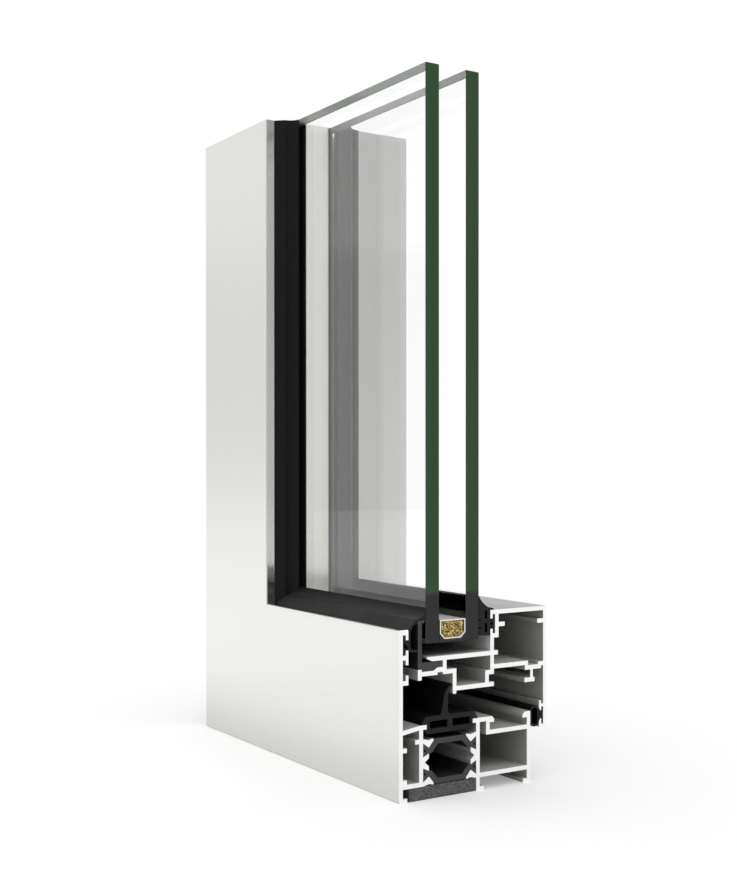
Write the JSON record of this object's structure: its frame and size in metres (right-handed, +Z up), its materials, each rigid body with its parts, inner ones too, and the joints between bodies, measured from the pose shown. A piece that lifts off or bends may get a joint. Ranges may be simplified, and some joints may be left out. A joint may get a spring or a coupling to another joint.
{
  "type": "aluminium window corner sample",
  "caption": "Mitred corner of a thermally broken aluminium window with a hidden sash, gaskets and double glazing, sawn open to show its section.",
  "frame": {"origin": "centre of the bounding box at its underside, on the floor that the sill stands on", "axes": "+X along the sill from the mitred corner to its sawn end, +Y from the outside face into the room, +Z up the jamb"},
  "size_m": [0.1682, 0.068, 0.2694],
  "materials": {
    "aluminium_frame": "satin off-white coat, bare at the sawn ends",
    "polyamide": "matte",
    "foam": "speckled foam",
    "rubber_gasket": "satin",
    "glass": "clear, polished edges",
    "spacer_metal": "mill finish",
    "desiccant": "fine beads",
    "edge_sealant": "matte"
  },
  "bodies": {
    "root": {"outer_pane": "glass", "inner_pane": "glass", "sill_outer_frame": "aluminium_frame", "sill_inner_frame": "aluminium_frame", "sill_sash": "aluminium_frame", "sill_sash_side_break": "polyamide", "sill_wall_side_break": "polyamide", "sill_glass_holder": "polyamide", "sill_wall_foam": "foam", "sill_centre_gasket": "rubber_gasket", "sill_outer_glazing_gasket": "rubber_gasket", "sill_inner_glazing_gasket": "rubber_gasket", "sill_weatherstrip": "rubber_gasket", "sill_spacer": "spacer_metal", "sill_desiccant": "desiccant", "sill_edge_seal": "edge_sealant", "jamb_outer_frame": "aluminium_frame", "jamb_inner_frame": "aluminium_frame", "jamb_sash": "aluminium_frame", "jamb_sash_side_break": "polyamide", "jamb_wall_side_break": "polyamide", "jamb_glass_holder": "polyamide", "jamb_wall_foam": "foam", "jamb_centre_gasket": "rubber_gasket", "jamb_outer_glazing_gasket": "rubber_gasket", "jamb_inner_glazing_gasket": "rubber_gasket", "jamb_weatherstrip": "rubber_gasket", "jamb_spacer": "spacer_metal", "jamb_desiccant": "desiccant", "jamb_edge_seal": "edge_sealant"}
  },
  "joints": []
}
